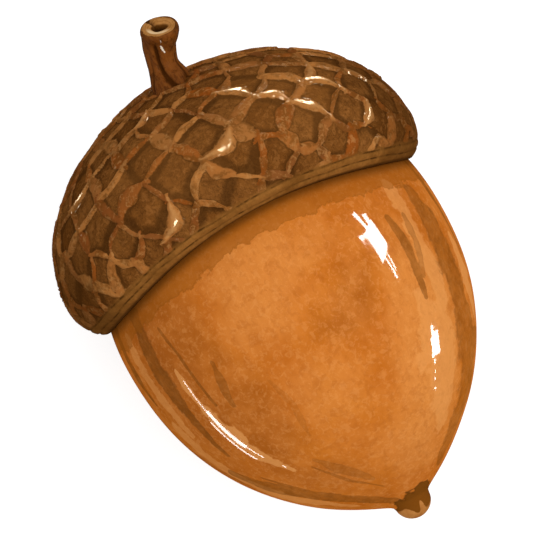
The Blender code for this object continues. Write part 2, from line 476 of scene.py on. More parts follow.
PALE_STROKES = (
    (0.35, (40.0, -7.6, 0.8), (44.0, -10.5, 3.6), (43.0, -13.0, 3.2), (42.0, -16.0, 1.2)),
    (0.40, (52.5, -0.6, 1.2), (51.5, -4.0, 1.4), (50.5, -9.0, 1.8)),
    (0.45, (73.0, -5.5, 0.7), (74.0, -9.0, 1.6), (76.0, -11.0, 0.7)),
    (0.60, (-49.0, -4.0, 0.3), (-48.0, -7.0, 0.8), (-46.5, -9.6, 1.4), (-43.0, -12.5, 1.0),
     (-39.0, -13.8, 0.4)),
    (0.35, (-65.5, -0.6, 0.7), (-66.0, -3.8, 1.1), (-65.0, -8.4, 0.6)),
    (0.35, (-71.0, -7.5, 1.0), (-71.0, -11.8, 1.4), (-68.0, -15.3, 1.6), (-52.0, -18.2, 0.8)),
    (0.35, (113.0, -2.5, 1.0), (112.0, -8.0, 1.9), (112.0, -14.0, 0.9)),
    (0.35, (-118.0, -1.5, 0.9), (-119.0, -6.0, 1.8), (-120.0, -12.0, 0.7)),
    (0.32, (170.0, -2.0, 0.8), (169.0, -7.0, 1.7), (168.0, -12.0, 0.6)),
)
# Wide washes of colour: angle and height of the middle, reach round and along the shell, and a tone that is
# pale above 0. Most washes on the front are painted light and shade: pale in the middle and towards the lit
# +Y side, dark towards the shaded -Y side. The washes on the back are tone that differs at random.
NUT_SHADE_AND_TONE_WASHES = (
    (-3.0, -2.0, 5.0, 4.2, 0.75),
    (14.0, -5.2, 3.6, 3.0, -0.85),
    (-34.0, -9.3, 3.0, 5.0, -0.90),
    (-42.0, -2.0, 3.4, 3.8, -1.00),
    (-62.0, -6.0, 3.6, 7.0, -0.55),
    (40.0, -9.0, 3.6, 6.0, 0.85),
    (34.0, -14.5, 3.4, 3.5, 0.60),
    (-6.0, -10.0, 3.0, 3.0, 0.45),
    (8.0, -16.5, 3.6, 2.4, 0.35),
    (-30.0, -16.5, 3.5, 2.4, -0.55),
    (78.0, -9.0, 2.4, 9.0, 0.35),
    (-58.0, -16.5, 4.0, 2.0, 0.40),
    (120.0, -5.0, 5.0, 4.0, 0.50),
    (150.0, -12.0, 5.0, 4.0, -0.50),
    (-110.0, -10.0, 4.5, 5.0, 0.45),
    (-150.0, -5.0, 5.0, 5.0, -0.55),
)


def rim_height(angle):
    """How high the cup's rim stands at each angle."""
    across = np.cos(angle)
    return np.where(across > 0, RIM_RISE_TOP, RIM_RISE_UNDER) * across**2


def stroke_marks(angle, z, r, strokes):
    """For each place, the best margin inside a stroke and that stroke's strength."""
    margin = np.full(z.shape, -1.0)
    strength = np.zeros(z.shape)
    for force, *stops in strokes:
        angles, heights, widths = np.array(stops)[::-1].T
        middle = np.radians(np.interp(z, heights, angles))
        width = np.interp(z, heights, widths)
        off = turn_from(angle, middle)
        beyond = np.maximum(np.maximum(heights[0] - z, z - heights[-1]), 0.0)
        here = np.maximum(1 - np.hypot(off * r, beyond * 1.2) / (width / 2), -1.0)
        wins = here > margin
        margin = np.where(wins, here, margin)
        strength = np.where(wins, force, strength)
    return margin, strength


def wash_marks(angle, z, r, sway, washes):
    """The sum of the washes' tones at each place."""
    tone = np.zeros(z.shape)
    for middle, height, round_reach, along_reach, force in washes:
        off = turn_from(angle, math.radians(middle))
        away = np.hypot((off * r) / round_reach, (z - height) / along_reach) + sway
        tone += force * smooth(1.25 - away, 0.0, 0.75)
    return np.clip(tone, -1.0, 1.0)


def tip_marks(angle, z):
    """How far each place is inside the dark collar above the point, and inside the point's pale end."""
    off = turn_from(angle, math.radians(20.0))
    teeth = np.abs((angle * 9 / math.pi + 0.6 * np.sin(angle * 3)) % 2 - 1) - 0.5
    collar = 1.97 - 0.55 * (1 - np.cos(off)) + 0.2 * teeth
    wedge = 0.75 * bell(off, 0.16) + 0.75 * smooth(-off, 0.35, 0.95) + 0.45 * smooth(off, 0.5, 1.4)
    return TIP_Z + collar - z, TIP_Z + 0.42 + wedge - z


def make_nut(material):
    """The nut's skin, with faint ribs and fine fibres along it, and a point that leans a little."""
    r, z = even_steps(*nut_outline(), NUT_ROWS)
    angle = round_axis(NUT_COLUMNS)
    places = rings(r, z, angle)
    rough_side = smooth(np.sin(angle), -0.5, 0.3)
    ribs = ripple(places * (1.0, 1.0, 0.16), 2.4, 3) * 0.045 * (0.5 + 0.5 * rough_side)
    ribs += ripple(places * (1.0, 1.0, 0.25), 0.85, 4) * 0.012 * (0.04 + 0.96 * rough_side)
    ribs += ripple(places * (1.0, 1.0, 0.07), 0.4, 5) * 0.0022 * rough_side
    ribs *= smooth(z, NUT_BELT_Z - NUT_FRONT, NUT_BELT_Z - NUT_FRONT + 6.0)[:, None]
    places = rings(r[:, None] + ribs - 0.02, z, angle)
    places[..., 1] += TIP_LEAN * smooth(-z, 17.0, 20.5)[:, None]
    around = np.broadcast_to(angle, places.shape[:2])
    height = places[..., 2]
    dark, dark_strength = stroke_marks(around, height, r[:, None], DARK_STROKES)
    pale, pale_strength = stroke_marks(around, height, r[:, None], PALE_STROKES)
    collar, point = tip_marks(around, height)
    marks = {
        "dark_stroke": dark,
        "dark_strength": dark_strength,
        "pale_stroke": pale,
        "pale_strength": pale_strength,
        "painted_light_and_tone": wash_marks(around, height, r[:, None], ripple(places, 2.2, 6) * 0.28, NUT_SHADE_AND_TONE_WASHES),
        "below_rim": rim_height(around) - height,
        "tip_collar": collar,
        "tip_point": point,
    }
    ends = ((0.0, 0.0, NUT_BELT_Z + NUT_BACK), (0.0, TIP_LEAN, TIP_Z))
    return shell("nut_shell", places, ends, marks, material)


def nut_material(mottle, grain, ragged):
    material, tree, shader, place = new_material("nut_gloss", 0.05, 1.6)
    wash = cloudy(tree, mottle, place, 6.5, 0.5)
    cloud = cloudy(tree, mottle, place, 1.9, 1.0, 8.0)
    brushed = cloudy(tree, mottle, place, 0.75, 1.6, 5.0)
    fleck = cloudy(tree, mottle, place, 0.42, 2.2, 4.0)
    fibre = fibrous(tree, grain, place, 0.5, 6.0)

    skin = blend(tree, wash, colour("b96218"), colour("c87120"))
    # Washes: painted light and shade on the front of the shell, tone that differs at random on the back
    tone = mark(tree, "painted_light_and_tone")
    skin = over(tree, skin, tone, "dd8e44", 0.8)
    skin = over(tree, skin, tone, "9a5113", -0.75)
    skin = over(tree, skin, cloud, "d58138", 0.45)
    skin = over(tree, skin, fibre, "aa5916", 0.22)
    skin = over(tree, skin, between(tree, brushed, 0.5, 0.0), "a95817", 0.3)
    skin = over(tree, skin, between(tree, fleck, 0.45, 1.0), "e49a54", 0.24)

    pale = torn(tree, ragged, mark(tree, "pale_stroke"), cloud, 0.9)["Mask"]
    pale = times(tree, pale, mark(tree, "pale_strength"))
    skin = over(tree, skin, pale, "e79f58")
    dark = torn(tree, ragged, mark(tree, "dark_stroke"), cloud, 0.7)
    thin = between(tree, brushed, 0.0, 1.0, 1.0, 0.7)
    dark_strength = times(tree, mark(tree, "dark_strength"), thin)
    skin = over(tree, skin, times(tree, dark["Mask"], dark_strength), "7b4510")
    line = times(tree, dark["Outline"], dark_strength)
    skin = over(tree, skin, line, "6f3d0f", 0.5)

    below_rim = mark(tree, "below_rim")
    # A darker band below the cup's rim, with a darker lower edge: partly the shell's own colour, partly painted
    # shade from the cup
    band = maths(tree, "SUBTRACT", 1.55, below_rim)
    band = torn(tree, ragged, band, cloud, 0.7, 0.045)
    skin = over(tree, skin, band["Mask"], "965313", 0.55)
    skin = over(tree, skin, band["Outline"], "8e4f12", 0.5)
    # Painted shadow: a dark line on the shell right under the cup's rim
    skin = over(tree, skin, between(tree, below_rim, 0.75, 0.0, 0.0, 0.7), "66390e")

    collar = torn(tree, ragged, mark(tree, "tip_collar"), cloud, 0.35, 0.05)
    skin = over(tree, skin, collar["Mask"], "70400f", 0.95)
    skin = over(tree, skin, collar["Outline"], "55300b", 0.7)
    point = torn(tree, ragged, mark(tree, "tip_point"), cloud, 0.3, 0.05)["Mask"]
    skin = blend(tree, point, skin, blend(tree, brushed, colour("a0622b"), colour("b87c40")))
    dull = maths(tree, "MAXIMUM", collar["Mask"], times(tree, band["Mask"], 0.6))
    edge_on = add(tree, "LayerWeight", {"Blend": 0.5}).outputs["Facing"]
    polish = maths(tree, "SUBTRACT", 1.0, dull)
    polish = times(tree, polish, between(tree, edge_on, 0.4, 0.7, 0.8, 0.0))
    relief = maths(tree, "MULTIPLY_ADD", fibre, 0.6, cloud)
    feed(tree, shader, skin, between(tree, cloud, 0.0, 1.0, 0.36, 0.5), polish, relief, 0.12, 0.00004)
    return material


# ---------------- cup

# Where a ridge is a thick, pale, polished lip: angle in degrees and height
PALE_LIPS = (
    (52.0, 8.9), (48.5, 7.6), (24.5, 8.3), (37.0, 5.7), (50.0, 4.3), (5.7, 7.6), (16.0, 9.7), (-21.0, 5.6),
    (-27.0, 11.2), (-55.0, 9.6), (62.0, 7.3), (120.0, 6.0), (150.0, 4.0), (-105.0, 6.5), (-140.0, 4.5),
)
# Washes on the cup, in the same columns as the nut's. Those near the sides and at the crown's edge are painted
# shade, the pale ones in the middle are painted light, and those on the back are tone that differs at random.
CUP_SHADE_AND_TONE_WASHES = (
    (-76.0, 6.0, 5.0, 7.0, -0.50),
    (-82.0, 1.5, 5.0, 5.0, -0.75),
    (-42.0, 12.2, 3.5, 2.0, -0.50),
    (76.0, 3.5, 3.8, 6.5, -1.00),
    (50.0, 11.8, 3.0, 2.0, -0.30),
    (30.0, 8.0, 4.5, 3.5, 0.40),
    (-14.0, 8.5, 3.0, 3.0, 0.35),
    (125.0, 6.0, 5.0, 4.0, 0.40),
    (165.0, 4.0, 5.0, 4.0, -0.50),
    (-125.0, 7.0, 5.0, 4.0, 0.35),
)


def scale_bed():
    """The outline that the scales are laid out on, from the crown down past the rim."""
    dome_r, dome_z = dome_outline()
    skirt_r, skirt_z = quarter(CUP_RADIUS, SCALE_SKIRT)
    keep = skirt_z < SCALE_SKIRT * 0.75
    keep[0] = False
    return np.append(dome_r, skirt_r[keep]), np.append(dome_z, CUP_BELT_Z - skirt_z[keep])


def scale_middles():
    """The middle of every scale: each a golden angle on from the last, with its own room on the cup."""
    r, z = scale_bed()
    arc = arc_length(r, z)
    room = SCALE_ROOM_CROWN + (SCALE_ROOM_RIM - SCALE_ROOM_CROWN) * smooth(arc, 2.0, 12.0)
    count = np.concatenate(([0.0], np.cumsum(np.diff(arc) * (2 * math.pi * r / room)[1:])))
    chance = random.Random(5)
    middles = []
    for number in range(int(count[-1])):
        place = np.interp(number + 0.5, count, arc) + chance.uniform(-0.15, 0.15)
        radius = float(np.interp(place, arc, r))
        angle = number * GOLDEN_ANGLE + SCALE_TURN + chance.uniform(-0.15, 0.15) / max(radius, 1.0)
        middles.append(Vector((radius * math.cos(angle), radius * math.sin(angle), np.interp(place, arc, z))))
    return middles


def circle_middle(a, b, c):
    """The middle of the circle through three points."""
    ab, ac = b - a, c - a
    across = ab.cross(ac)
    reach = across.cross(ab) * ac.length_squared + ac.cross(across) * ab.length_squared
    return a + reach / (2 * across.length_squared)


def scale_edges(middles):
    """The borders between neighbouring scales: the two scales' numbers, and the border's two ends.

    Where a border would be short its ends are drawn together, so that four scales meet in a cross.
    """
    shape = bmesh.new()
    numbers = {shape.verts.new(place): number for number, place in enumerate(middles)}
    bmesh.ops.convex_hull(shape, input=list(shape.verts))
    corners = {}
    for face in shape.faces:
        around = sorted(numbers[v] for v in face.verts)[:3]
        corners[face] = circle_middle(*(middles[n] for n in around))
    borders = []
    for edge in shape.edges:
        if len(edge.link_faces) == 2:
            borders.append((tuple(sorted(numbers[v] for v in edge.verts)), *edge.link_faces))
    borders.sort(key=lambda border: border[0])
    joined = set()
    for pair, one, other in borders:
        if (corners[one] - corners[other]).length < SHORT_BORDER:
            corners[one] = corners[other] = (corners[one] + corners[other]) / 2
            joined.add(pair)
    edges = []
    for pair, one, other in borders:
        ends = sorted((corners[one], corners[other]), key=lambda corner: corner.z, reverse=True)
        if pair not in joined and ends[1].z > -2.5:
            edges.append((pair, *ends))
    shape.free()
    return edges


def lip_edges(edges):
    """The numbers of the edges nearest the pale lips' places."""
    middles = np.array([(start + end) / 2 for pair, start, end in edges])
    short = np.array([(start - end).length < 1.3 for pair, start, end in edges])
    chosen = set()
    for angle, height in PALE_LIPS:
        place = skin_place(scale_bed(), angle, height)[0]
        chosen.add(int(np.argmin(np.linalg.norm(middles - np.array(place), axis=1) + 9 * short)))
    return chosen


def ridge_marks(places, outward, edges):
    """Lays a leaf-shaped ridge along most borders between scales, the later ones over the earlier ones.

    Gives the relief, the depth inside the ridge on top, and its tone, warmth and polish.
    """
    height = np.zeros(len(places))
    depth = np.full(len(places), -1.0)
    tone, warmth, polish = np.zeros((3, len(places)))
    lips = lip_edges(edges)
    order = list(range(len(edges)))
    random.Random(3).shuffle(order)
    order.sort(key=lambda number: number in lips)
    for number in order:
        pair, start, end = edges[number]
        chance = random.Random(pair[0] * 1000 + pair[1])
        lip = number in lips
        along = np.array(end - start)
        length = max(np.linalg.norm(along), 1e-6)
        if (chance.random() < 0.08 or length < 0.55) and not lip:
            continue
        near = np.flatnonzero(np.abs(places - np.array(start + end) / 2).max(axis=1) < length / 2 + 1.6)
        if len(near) == 0:
            continue
        width = RIDGE_HALF_WIDTH * (chance.choice((0.55, 0.8, 1.0, 1.25, 1.7)) + chance.uniform(-0.1, 0.1))
        blunt = chance.uniform(0.25, 0.7)
        bow = chance.uniform(-0.12, 0.12) * length
        rise = chance.uniform(0.35, 1.0)
        tilt = chance.uniform(-0.4, 0.4)
        overrun = chance.uniform(0.0, 0.5)
        shade = chance.choice((0.0, 0.1, 0.3, 0.45, 0.7, 1.0))
        warm = chance.random()
        if lip:
            width, blunt, bow, rise, shade = RIDGE_HALF_WIDTH * 1.35, 0.3, 0.15 * length, 0.85, 1.0
        offset = places[near] - np.array(start)
        share = offset @ along / length**2
        inside = np.clip(share, -overrun / length, 1 + overrun / length)
        sideways = np.cross(outward[near], along / length)
        lateral = np.einsum("ij,ij->i", offset, sideways) - bow * 4 * inside * (1 - inside)
        reach = np.hypot(lateral, (share - inside) * length)
        swell = blunt + (1.15 - blunt) * np.sin(math.pi * np.clip(inside, 0.0, 1.0)) ** 0.8
        here = np.maximum(1 - reach / (width * swell), -1.0)
        lean = 1 + tilt * np.clip(lateral / width, -1.0, 1.0)
        top = rise * lean * smooth(here, 0.0, 0.6)
        height[near] = np.maximum(height[near], top)
        wins = (here > 0) | (here > depth[near])
        for values, new in ((depth, here), (tone, shade), (warmth, warm), (polish, float(lip))):
            values[near] = np.where(wins, new, values[near])
    return height, depth, tone, warmth, polish


def nearest_two(places, middles):
    """For each place, how far it is inside its scale's border, and its scale's number."""
    centres = np.array(middles)
    squares = (places**2).sum(1)[:, None] - 2 * places @ centres.T + (centres**2).sum(1)
    order = np.argpartition(squares, 2, axis=1)[:, :2]
    rows = np.arange(len(places))
    swap = squares[rows, order[:, 0]] > squares[rows, order[:, 1]]
    first = np.where(swap, order[:, 1], order[:, 0])
    second = np.where(swap, order[:, 0], order[:, 1])
    apart = np.linalg.norm(centres[first] - centres[second], axis=1)
    return (squares[rows, second] - squares[rows, first]) / (2 * apart), first


def cup_surface():
    """The cup's skin before its relief: the outside from the crown to the rim, then up the inside."""
    dome_r, dome_z = dome_outline()
    lip_r, lip_z = quarter(LIP_INSET, CUP_BELT_Z)
    lip_r = lip_r + CUP_RADIUS - LIP_INSET
    keep = lip_r > nut_radius(0.0) + SEAM + 0.15
    keep[0] = False
    r = np.append(dome_r, lip_r[keep])
    z = np.append(dome_z, CUP_BELT_Z - lip_z[keep])
    arc = arc_length(r, z)[-1]
    r, z = even_steps(r, z, CUP_ROWS)
    angle = round_axis(CUP_COLUMNS)
    lift = smooth(CUP_CROWN_Z - z, 0.0, CUP_DOME)[:, None] * rim_height(angle)
    outside = rings(r, z[:, None] + lift, angle)

    edge = outside[-1, :, 2] - 0.02
    inner = []
    for share in (0.5, 1.0):
        inner.append((r[-1] + (nut_radius(edge) + SEAM - r[-1]) * share, edge))
    for share in (0.04, 0.12, 0.3, 0.55, 0.8, 0.95):
        height = edge + (NUT_BELT_Z + NUT_BACK + SEAM - edge) * share
        inner.append((nut_radius(height - SEAM) + SEAM, height))
    across, side = np.cos(angle), np.sin(angle)
    inside = [np.stack((reach * across, reach * side, height), axis=-1) for reach, height in inner]
    from_rim = np.linspace(arc, 0.0, CUP_ROWS + 2)[1:-1]
    return outside, np.array(inside), from_rim


def outward_of(outside):
    """Unit directions out of a skin of rows."""
    down = np.gradient(outside, axis=0)
    across = np.roll(outside, -1, axis=1) - np.roll(outside, 1, axis=1)
    out = np.cross(down, across)
    return out / np.linalg.norm(out, axis=-1, keepdims=True)


def make_cap(material):
    """The cup: scales sunk between a net of ridges, and a band round the rim."""
    outside, inside, from_rim = cup_surface()
    outward = outward_of(outside)
    middles = scale_middles()
    flat = outside.reshape(-1, 3)
    moved = flat + drift(flat, 1.5, 11) * 0.26 + drift(flat, 0.5, 14) * 0.07
    ridge = ridge_marks(moved, outward.reshape(-1, 3), scale_edges(middles))
    border, number = nearest_two(moved, middles)
    shades = np.array([random.Random(n).random() for n in range(len(middles))])

    shape = outside.shape[:2]
    height, depth, tone, warmth, polish = (v.reshape(shape) for v in ridge)
    border = border.reshape(shape)
    band = smooth(from_rim, RIM_BAND + 0.3, RIM_BAND - 0.1)[:, None]
    wrinkle = ripple(outside, 0.7, 21) * 0.05 + ripple(outside, 0.3, 22) * 0.025
    fold = 0.08 * smooth(np.abs(ripple(outside, 1.1, 23)), 0.14, 0.0)
    crack = bell(border, 0.4)
    field = -SCALE_SINK - 0.12 * crack - fold + 0.08 * smooth(border, 0.2, 1.3) + wrinkle
    relief = np.maximum(field, -SCALE_SINK + height * (SCALE_SINK + 0.02) + wrinkle * 0.5)
    angle = np.arctan2(outside[..., 1], outside[..., 0])
    folds = (RIM_BAND + 0.02, RIM_BAND * 0.5)
    sway = [ripple(np.stack((angle * 4.5, 0 * angle, 0 * angle), axis=-1), 1.0, seed) for seed in (24, 25)]
    off_fold = np.min([np.abs(from_rim[:, None] - at - 0.22 * s) for at, s in zip(folds, sway)], axis=0)
    relief = relief * (1 - band) + (-0.04 - 0.07 * smooth(off_fold, 0.14, 0.0) + wrinkle * 0.3) * band
    fade = 1 - smooth(from_rim, from_rim.max() - 1.0, from_rim.max() - 0.2)[:, None]
    skin = outside + outward * (relief * fade)[..., None]

    places = np.concatenate((skin, inside))
    # Painted light and shade from the washes on the front, random tone from those on the back
    shade = wash_marks(angle, outside[..., 2], 10.0, ripple(outside, 2.0, 25) * 0.25, CUP_SHADE_AND_TONE_WASHES)
    outer = {
        "ridge_depth": (np.where(band > 0.5, -1.0, depth), -1.0),
        "ridge_tone": (tone, 0.0),
        "ridge_warmth": (warmth, 0.0),
        "ridge_polish": (polish * (band < 0.5), 0.0),
        "scale_tone": (shades[number].reshape(shape), 0.0),
        "scale_border": (border, 0.0),
        "rim_band": (band + 0 * border, 1.0),
        "rim_fold": (off_fold, 1.0),
        "above_rim": (from_rim[:, None] + 0 * border, 0.0),
        "painted_light_and_tone": (shade, -1.0),
    }
    marks = {}
    for name, (value, rest) in outer.items():
        marks[name] = np.concatenate((value, np.full(inside.shape[:2], rest)))
    ends = ((0.0, 0.0, CUP_CROWN_Z), (0.0, 0.0, NUT_BELT_Z + NUT_BACK + SEAM))
    return shell("cap_scales", places, ends, marks, material)


def cup_material(mottle, grain, ragged):
    material, tree, shader, place = new_material("cup_bark", 0.07, 1.5)
    wash = cloudy(tree, mottle, place, 2.6, 0.8)
    cloud = cloudy(tree, mottle, place, 0.9, 1.2, 7.0)
    stroke = cloudy(tree, mottle, place, 0.45, 2.0, 5.0)
    fibre = fibrous(tree, grain, place, 0.3, 3.0)

    scale = blend(tree, mark(tree, "scale_tone"), colour("643913"), colour("7a4b20"))
    scale = over(tree, scale, wash, "885524", 0.45)
    scale = over(tree, scale, between(tree, cloud, 0.5, 1.0), "4b290c", 0.6)
    scale = over(tree, scale, between(tree, stroke, 0.55, 0.95), "935e2d", 0.4)
    # Painted shade: thin wandering dark lines across the scales, standing for the shade in creases
    crease_shade = gap(tree, cloud, 0.42)
    scale = over(tree, scale, between(tree, crease_shade, 0.08, 0.0, 0.0, 0.6), "3f230b")
    hairline_shade = gap(tree, stroke, 0.4)
    scale = over(tree, scale, between(tree, hairline_shade, 0.1, 0.0, 0.0, 0.5), "3f230a")
    # Painted shade: darker near each scale's border, in the hollow beside the ridges
    crack = between(tree, mark(tree, "scale_border"), 0.6, 0.2)
    scale = over(tree, scale, crack, "3c220a", 0.65)

    tone = mark(tree, "ridge_tone")
    ridge = blend(tree, mark(tree, "ridge_warmth"), colour("774520"), colour("8a4715"))
    ridge = over(tree, ridge, tone, "ad7138", 0.8)
    ridge = over(tree, ridge, between(tree, cloud, 0.35, 0.85), "653b13", 0.65)
    ridge = over(tree, ridge, between(tree, stroke, 0.5, 1.0), "c08a50", 0.35)
    depth = mark(tree, "ridge_depth")
    edge = torn(tree, ragged, depth, cloud, 0.35, 0.1)
    polish = mark(tree, "ridge_polish")
    crest = times(tree, between(tree, depth, 0.35, 0.9, 0.0, 0.5), polish)
    ridge = over(tree, ridge, crest, "bd8850")
    skin = blend(tree, edge["Mask"], scale, ridge)
    line = times(tree, edge["Outline"], between(tree, wash, 0.2, 0.8, 0.8, 0.25))
    skin = over(tree, skin, line, "47290c")

    rim = blend(tree, wash, colour("774a1c"), colour("95612b"))
    rim = over(tree, rim, fibre, "4a2e10", 0.3)
    skin = blend(tree, mark(tree, "rim_band"), skin, rim)
    # Painted shade: dark wavy lines along the shallow grooves of the rim band's folds
    near_rim = between(tree, mark(tree, "above_rim"), RIM_BAND + 0.5, RIM_BAND + 0.3)
    fold = times(tree, between(tree, mark(tree, "rim_fold"), 0.11, 0.03), near_rim)
    fold = times(tree, fold, between(tree, cloud, 0.2, 0.8, 0.8, 0.25))
    skin = over(tree, skin, fold, "351d06")
    # Painted shade: a dark line along the rim's edge, next to the nut
    rim_edge_shade = between(tree, mark(tree, "above_rim"), 0.3, 0.05, 0.0, 0.6)
    skin = over(tree, skin, rim_edge_shade, "331c06")
    # Washes: painted light and shade on the front of the cup, tone that differs at random on the back
    tone = mark(tree, "painted_light_and_tone")
    skin = over(tree, skin, tone, "3f2208", -0.5)
    skin = over(tree, skin, tone, "b37335", 0.25)
    shine = maths(tree, "MAXIMUM", times(tree, polish, 0.55), 0.02)
    shine = times(tree, shine, between(tree, stroke, 0.15, 0.5, 0.1, 1.0))
    shine = times(tree, shine, edge["Mask"])
    edge_on = add(tree, "LayerWeight", {"Blend": 0.5}).outputs["Facing"]
    shine = times(tree, shine, between(tree, edge_on, 0.5, 0.8, 1.0, 0.0))
    relief = maths(tree, "MULTIPLY_ADD", stroke, 0.5, cloud)
    relief = maths(tree, "MULTIPLY_ADD", fibre, 0.3, relief)
    roughness = between(tree, edge["Mask"], 0.0, 1.0, 0.62, 0.45)
    feed(tree, shader, skin, roughness, shine, relief, 0.35, 0.0001)
    return material


# ---------------- stalk


def stalk_line(steps):
    """Points, directions and radii along the stalk, from its foot to its cut end."""
    places = np.array([place for place, radius in STALK_ROUTE])
    radii = np.array([radius for place, radius in STALK_ROUTE])
    stops = arc_length(places[:, 0], places[:, 2])
    along = np.linspace(0.0, stops[-1], steps)
    slopes = np.gradient(places, stops, axis=0)
    line = np.empty((steps, 3))
    radius = np.empty(steps)
    for i, stop in enumerate(along):
        k = min(int(np.searchsorted(stops, stop, side="right")) - 1, len(stops) - 2)
        width = stops[k + 1] - stops[k]
        t = (stop - stops[k]) / width
        h = (2 * t**3 - 3 * t**2 + 1, t**3 - 2 * t**2 + t, -2 * t**3 + 3 * t**2, t**3 - t**2)
        line[i] = h[0] * places[k] + h[1] * width * slopes[k]
        line[i] += h[2] * places[k + 1] + h[3] * width * slopes[k + 1]
        radius[i] = radii[k] + (radii[k + 1] - radii[k]) * smooth(t)
    direction = np.gradient(line, axis=0)
    return line, direction / np.linalg.norm(direction, axis=1, keepdims=True), radius


def stalk_sides(direction):
    """Unit directions across the stalk: to its front, and to its +Y side."""
    side = np.cross(direction, (1.0, 0.0, 0.0))
    side = side / np.linalg.norm(side, axis=1, keepdims=True)
    return np.cross(side, direction), side


def stalk_reach(turn, along, radius):
    """How far the bark stands from the middle line, and how deep each place lies in a furrow."""

    def furrow(at, width, start, stop):
        return bell(turn - at, width) * smooth(along, stop, start)

    groove = furrow(0.12 - 0.36 * smooth(along, 0.1, 0.6), 0.16, 0.8, 0.98)
    second = furrow(0.95 + 0.3 * along, 0.2, 0.5, 0.9)
    third = furrow(-0.95 + 0.2 * along, 0.12, 0.4, 0.85)
    back = furrow(2.4, 0.2, 0.7, 0.95) + furrow(-2.3, 0.2, 0.7, 0.95)
    foot = (1 - smooth(along, 0.1, 0.6)) * (0.02 + 0.5 * smooth(np.cos(turn + 0.35), 0.4, 1.0))
    rolled = 0.05 * bell(along - 0.965, 0.05)
    knee = 0.1 * bell(along - 0.8, 0.13) + 0.1 * bell(along - 0.9, 0.1) * smooth(np.sin(turn))
    slim = 1 - 0.08 * smooth(along, 0.55, 1.0)
    reach = radius * (slim + foot + rolled + knee) - 0.26 * groove - 0.12 * (second + third + back)
    return reach, np.maximum(groove, 0.7 * np.maximum(second, np.maximum(third, back)))


def make_stalk(material):
    """The stalk: a grooved bent tube with a spreading foot, and a rolled cut end round the pith's hollow."""
    line, direction, radius = stalk_line(110)
    front, side = stalk_sides(direction)
    angle = round_axis(STALK_COLUMNS)
    share = np.linspace(0.0, 1.0, len(line))
    turn = angle[None, :]
    along = share[:, None]
    out = np.cos(turn)[..., None] * front[:, None] + np.sin(turn)[..., None] * side[:, None]
    reach, furrows = stalk_reach(turn, along, radius[:, None])
    tube = line[:, None] + reach[..., None] * out
    tube += (0.18 * np.sin(turn) * reach * smooth(along, 0.8, 1.0))[..., None] * direction[:, None]
    tube += (ripple(tube * (1.0, 1.0, 0.35), 0.6, 31) * 0.035)[..., None] * out

    middle, onward = line[-1], direction[-1]
    rim = tube[-1] - middle
    split = bell(angle + 2.46, 0.15)
    oval = 0.84 + 0.12 * np.cos(2 * (angle - 1.5)) + 0.1 * np.cos(3 * angle + 0.6)
    steps = (
        (0.97, 0.08), (0.9, 0.13), (0.84, 0.08), (0.76, 0.12), (0.68, 0.11), (0.58, 0.09), (0.47, 0.0),
        (0.38, -0.2), (0.33, -0.45), (0.28, -0.7), (0.16, -0.8),
    )
    face = []
    for inward, lift in steps:
        round_hole = smooth(inward, 0.7, 0.4)
        reach = inward * (1 - round_hole + round_hole * oval)[:, None]
        sunk = 0.4 * split * smooth(inward, 0.3, 0.6) * (inward < 0.95)
        face.append(middle + rim * reach + onward * (lift - sunk[:, None]))
    rows = np.concatenate((np.array(face)[::-1], tube[::-1]))
    blank = np.zeros(rows.shape[:2])
    cut = len(face)
    inward = np.array([step[0] for step in steps])[::-1]
    from_end = np.linspace(0.0, 5.0, len(tube))
    # Painted highlight: where a pale streak stands in for a glint on the bark
    painted_glint = 1 - np.hypot((turn - 0.2 + 0.9 * (along - 0.82)) / 0.07, (along - 0.81) / 0.1)
    bark_ring = 0.1 * smooth(np.sin(angle - 0.3), -0.2, 0.8)
    marks = {
        "cut_end": np.concatenate((0.95 - bark_ring - inward[:, None], -from_end[:, None] - 0.05 + 0 * turn)),
        "ring": np.concatenate((inward, 1 + from_end))[:, None] + blank,
        "groove": np.concatenate((blank[:cut], furrows[::-1])),
        "split": np.concatenate((blank[:cut] + split, blank[cut:])),
        "painted_glint": np.concatenate((blank[:cut] - 1.0, painted_glint[::-1])),
        "face_front": np.cos(turn + 0.25) + blank,
    }
    ends = (middle + onward * -0.82, line[0] - direction[0] * 0.3)
    return shell("stalk_bark", rows, np.array(ends), marks, material)


